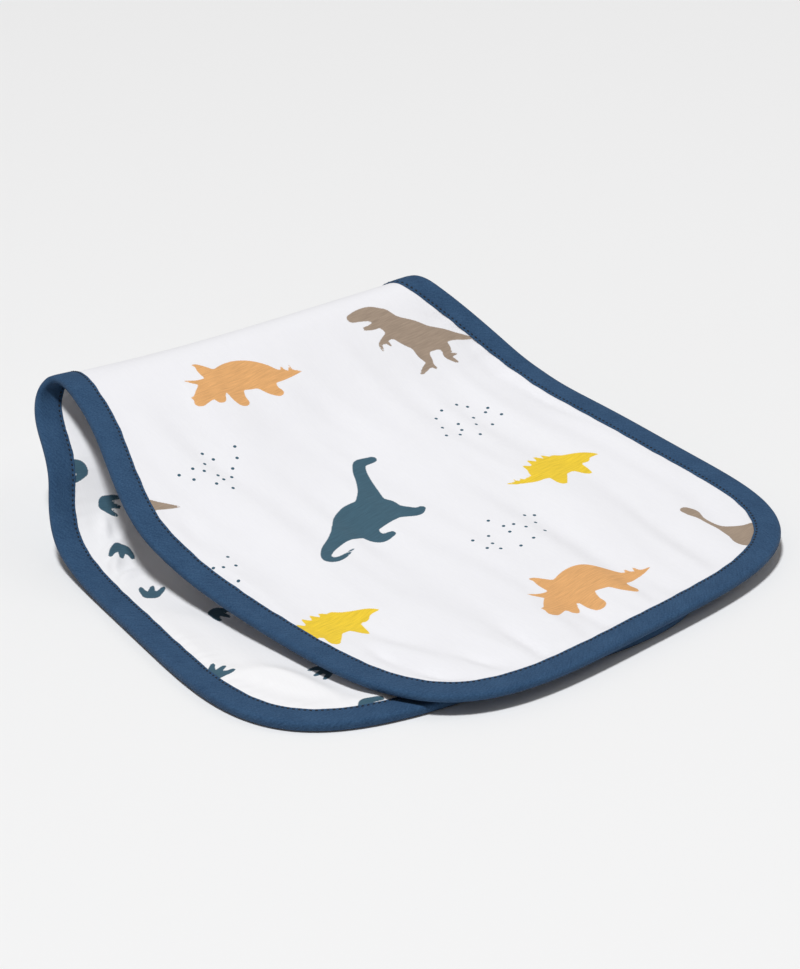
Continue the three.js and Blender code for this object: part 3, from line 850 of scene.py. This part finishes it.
def stitching(name):
    """One short thread to each stitch, a bean with a six-sided section, on both sides of
    the cloth: along it the radius is sqrt(1 - t^2), and its ends dip into the binding."""
    a_table, length = round_lengths()
    total = length[-1]
    count = int(round(total / STITCH_PITCH))
    start = (np.arange(count) + 0.5) * total / count
    t = np.array([-1.0, -0.75, -0.25, 0.25, 0.75, 1.0])
    ring = np.arange(6) * np.pi / 3
    k, T, A = np.meshgrid(np.arange(count), t, ring, indexing="ij")
    r = 0.46 * np.sqrt(np.clip(1.02 - T * T, 0.02, None))
    x = start[k] + T * STITCH_PITCH * 0.30
    q = BIND_WIDTH - STITCH_IN + np.cos(A) * r * 1.2 + 0.06 * np.sin(k * 2.4)
    points, faces = [], []
    for side in (1, -1):
        u, v = inset(np.interp(np.mod(x, total), length, a_table), q)
        w = side * (strip_face(u, v, side) - 0.36 - 0.2 * T * T + np.sin(A) * r)
        base = len(points) * count * 36
        points.append(on_fold(u, v, w).reshape(-1, 3))
        kk, i, j = np.meshgrid(np.arange(count), np.arange(5), np.arange(6), indexing="ij")
        a0 = (kk * 36 + i * 6 + j).ravel() + base
        b0 = (kk * 36 + i * 6 + (j + 1) % 6).ravel() + base
        c0, d0 = b0 + 6, a0 + 6
        tri = np.concatenate([np.stack([a0, b0, c0], 1), np.stack([a0, c0, d0], 1)])
        n0 = np.arange(count) * 36 + base
        caps = [np.stack([n0, n0 + m + 1, n0 + m], 1) for m in range(1, 5)]
        caps += [np.stack([n0 + 30, n0 + 30 + m, n0 + 30 + m + 1], 1) for m in range(1, 5)]
        both = np.concatenate([tri, *caps])
        faces.append(both if side > 0 else both[:, ::-1])
    return write_mesh(name, np.concatenate(points), np.concatenate(faces))


# ---- the cloth ---------------------------------------------------------------------------------
places, spots = repeated(FACE_PRINT, DOTS)
face_grid, lining_grid = (((417, 189), (425, 185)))
face, fu, fv = cloth_sheet("face_cloth", *face_grid, PANEL_FACE, PANEL_NEAR, face_relief)
add_print(face, fu, fv, places)
face.data.materials.append(printed_cotton("printed_white_cotton", (0.855, 0.853, 0.885), spots))

lining, lu, lv = cloth_sheet("lining_cloth", *lining_grid, -PANEL_FACE, -PANEL_NEAR, lining_relief)
add_print(lining, lu, lv, footprints())
lining.data.materials.append(printed_cotton("lining_white_cotton", (0.90, 0.895, 0.912)))

strip = binding("bias_binding")
strip.data.materials.append(binding_cotton())
stitches = stitching("edge_stitching")
stitches.data.materials.append(thread())

for piece, node, slot in ((face, "face_panel", "printed_cotton"),
                          (lining, "lining_panel", "lining_cotton"),
                          (strip, "binding", "binding_cotton")):
    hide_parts(node)
    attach(piece, "root")
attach(stitches, "root")


# ---- floor, light and camera ---------------------------------------------------------------------
def floor():
    """A plain pale floor, just under the cloth so that the two don't flicker."""
    side, z = 6000.0, -0.3
    corners = [(-side, -side, z), (side, -side, z), (side, side, z), (-side, side, z)]
    obj = write_mesh("floor", np.array(corners), np.array([[0, 1, 2, 3]]), smooth_shading=False)
    m = Nodes("pale_floor")
    m.shader.inputs["Base Color"].default_value = (0.86, 0.86, 0.865, 1)
    m.shader.inputs["Roughness"].default_value = 0.9
    m.shader.inputs["Specular IOR Level"].default_value = 0.1
    obj.data.materials.append(m.material)


def area_light(name, direction, distance, size, power, colour=(1, 1, 1)):
    """A square softbox in that direction from the cloth, facing it."""
    light = bpy.data.lights.new(name, "AREA")
    light.shape, light.size, light.energy, light.color = "SQUARE", size, power, colour
    obj = bpy.data.objects.new(name, light)
    d = Vector(direction).normalized()
    facing = d.to_track_quat("Z", "Y").to_matrix().to_4x4()
    obj.matrix_world = Matrix.Translation(d * distance) @ facing
    bpy.context.scene.collection.objects.link(obj)


def camera():
    """The photograph's own viewpoint: bearing, height, distance and roll were measured from
    the outlines, and the picture is 800 pixels wide with a focal length of focal pixels."""
    azimuth, elevation, roll = math.radians(57.53), math.radians(27.42), math.radians(-2.86)
    distance, focal = 1.7814, 3856.1        # metres, pixels
    target = Vector(((65.64 - CENTRE[0]) / 1000, (33.43 - CENTRE[1]) / 1000, BIND_OUT / 1000))
    level = math.cos(elevation)
    back = Vector((math.sin(azimuth) * level, -math.cos(azimuth) * level, math.sin(elevation)))
    right = (-back).cross(Vector((0, 0, 1))).normalized()
    up = right.cross(-back)
    cr, sr = math.cos(roll), math.sin(roll)
    right, up = right * cr + up * sr, up * cr - right * sr
    data = bpy.data.cameras.new("camera")
    data.sensor_fit, data.sensor_width, data.lens = "HORIZONTAL", 36.0, focal * 36.0 / 800.0
    data.clip_start, data.clip_end = 0.05, 50.0
    obj = bpy.data.objects.new("camera", data)
    place = target + back * distance
    obj.matrix_world = Matrix(((right.x, up.x, back.x, place.x), (right.y, up.y, back.y, place.y),
                               (right.z, up.z, back.z, place.z), (0, 0, 0, 1)))
    bpy.context.scene.collection.objects.link(obj)
    bpy.context.scene.camera = obj


floor()
camera()
world = bpy.data.worlds.new("studio")
bpy.context.scene.world = world
world.use_nodes = True
world.node_tree.nodes["Background"].inputs["Color"].default_value = (1.0, 0.93, 0.86, 1)
world.node_tree.nodes["Background"].inputs["Strength"].default_value = 0.22
area_light("key", (0.16, -0.20, 1.0), 7.0, 1.0, 405.0, (0.965, 0.985, 1.0))
area_light("side", (0.45, 0.85, 0.75), 3.6, 1.3, 8.0, (1.0, 0.99, 0.98))
bpy.context.scene.view_settings.view_transform = "Standard"
